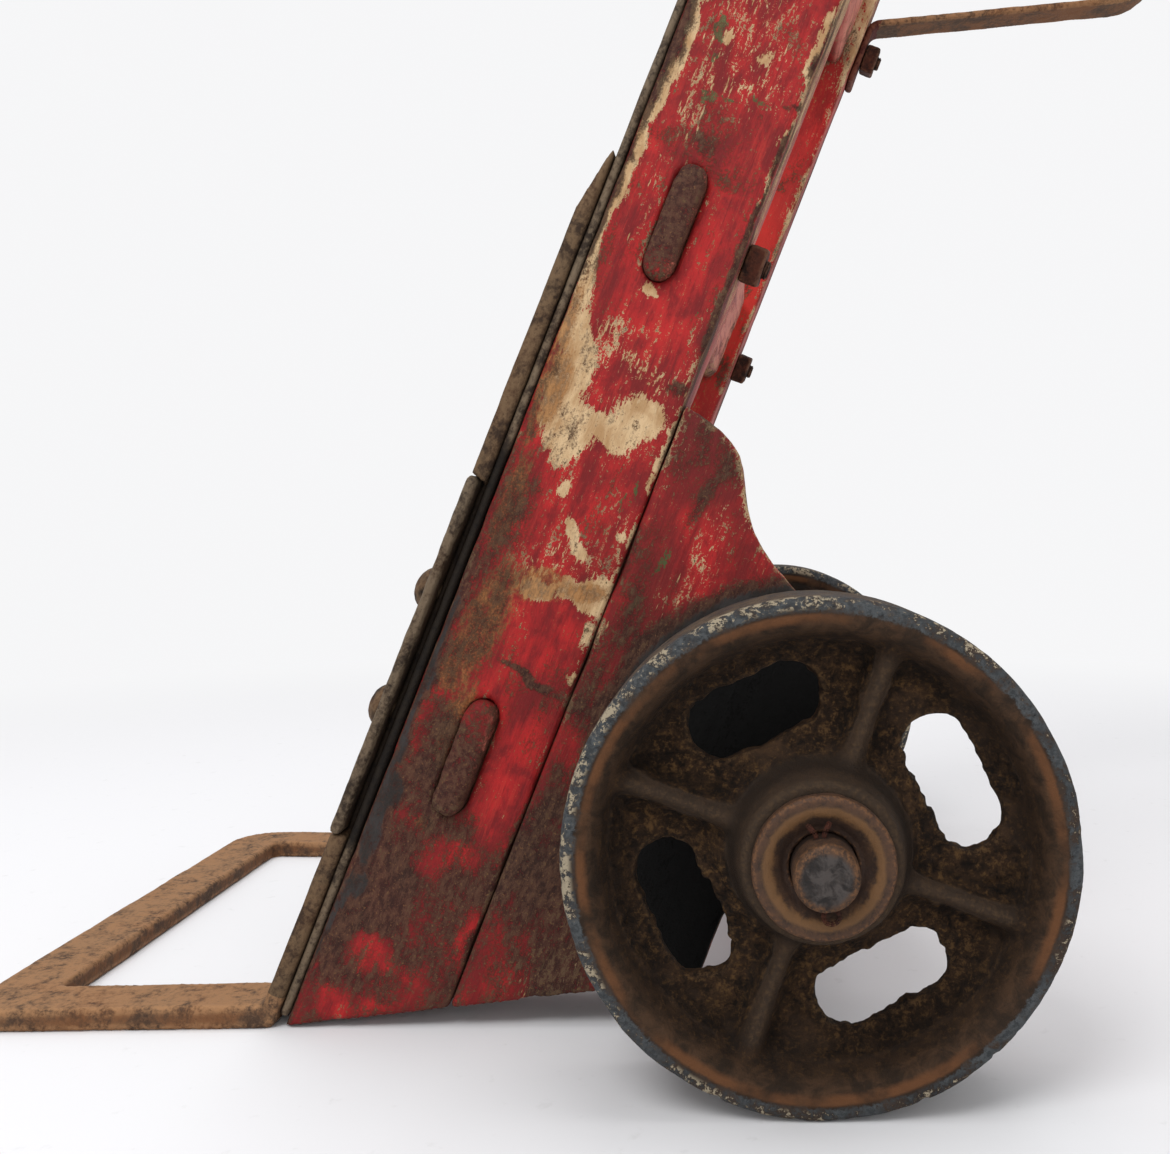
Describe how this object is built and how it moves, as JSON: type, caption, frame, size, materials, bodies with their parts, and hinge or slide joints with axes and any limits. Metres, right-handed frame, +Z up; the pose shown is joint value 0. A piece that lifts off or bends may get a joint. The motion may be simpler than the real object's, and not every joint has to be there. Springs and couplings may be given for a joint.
{
  "type": "hand truck",
  "caption": "Upright wooden hand truck with leaning rails and crossbars, a forged toe iron as its nose, spoked cast-iron wheels on a fixed axle, and bent leg irons behind.",
  "frame": {"origin": "on the floor, at the centre of the truck's box seen from above", "axes": "+Z up, -Y the way the nose points, +X to the left of someone who stands behind the handles"},
  "size_m": [0.558, 0.741, 1.164],
  "materials": {
    "painted_wood": "worn red paint, flaked to cream primer and bare wood, grimy low down",
    "strap_iron": "dark weathered iron strap",
    "forged_iron": "forged iron with dry brown rust and rubbed edges",
    "cast_iron": "gritty rusted casting with blue-grey rubbed rim edge",
    "hardware": "rusted steel with dark grime"
  },
  "bodies": {
    "frame": {"rail_left": "painted_wood", "rail_right": "painted_wood", "axle_block_left": "painted_wood", "axle_block_right": "painted_wood", "crossbar_1": "painted_wood", "crossbar_2": "painted_wood", "crossbar_3": "painted_wood", "crossbar_4": "painted_wood", "front_strap_left": "strap_iron", "front_strap_right": "strap_iron", "toe_iron": "forged_iron", "cross_plate": "forged_iron", "leg_iron_left": "forged_iron", "leg_iron_right": "forged_iron", "axle": "hardware", "inner_collar_left": "hardware", "outer_washer_left": "hardware", "cotter_pin_left": "hardware", "inner_collar_right": "hardware", "outer_washer_right": "hardware", "cotter_pin_right": "hardware", "bolt_plate_low_left": "hardware", "nut_plate_low_left": "hardware", "bolt_plate_low_right": "hardware", "nut_plate_low_right": "hardware", "bolt_plate_high_left": "hardware", "nut_plate_high_left": "hardware", "bolt_plate_high_right": "hardware", "nut_plate_high_right": "hardware", "bolt_bar_left": "hardware", "nut_bar_left": "hardware", "bolt_bar_right": "hardware", "nut_bar_right": "hardware", "bolt_leg_low_left": "hardware", "nut_leg_low_left": "hardware", "bolt_leg_low_right": "hardware", "nut_leg_low_right": "hardware", "bolt_leg_high_left": "hardware", "nut_leg_high_left": "hardware", "bolt_leg_high_right": "hardware", "nut_leg_high_right": "hardware"},
    "wheel_left": {"wheel_left": "cast_iron"},
    "wheel_right": {"wheel_right": "cast_iron"}
  },
  "joints": [
    {"name": "wheel_left_spin", "type": "hinge", "parent": "frame", "child": "wheel_left", "pos_m": [0.223, 0.01912, 0.1016], "axis": [1, 0, 0], "continuous": true},
    {"name": "wheel_right_spin", "type": "hinge", "parent": "frame", "child": "wheel_right", "pos_m": [-0.223, 0.01912, 0.1016], "axis": [1, 0, 0], "continuous": true}
  ]
}
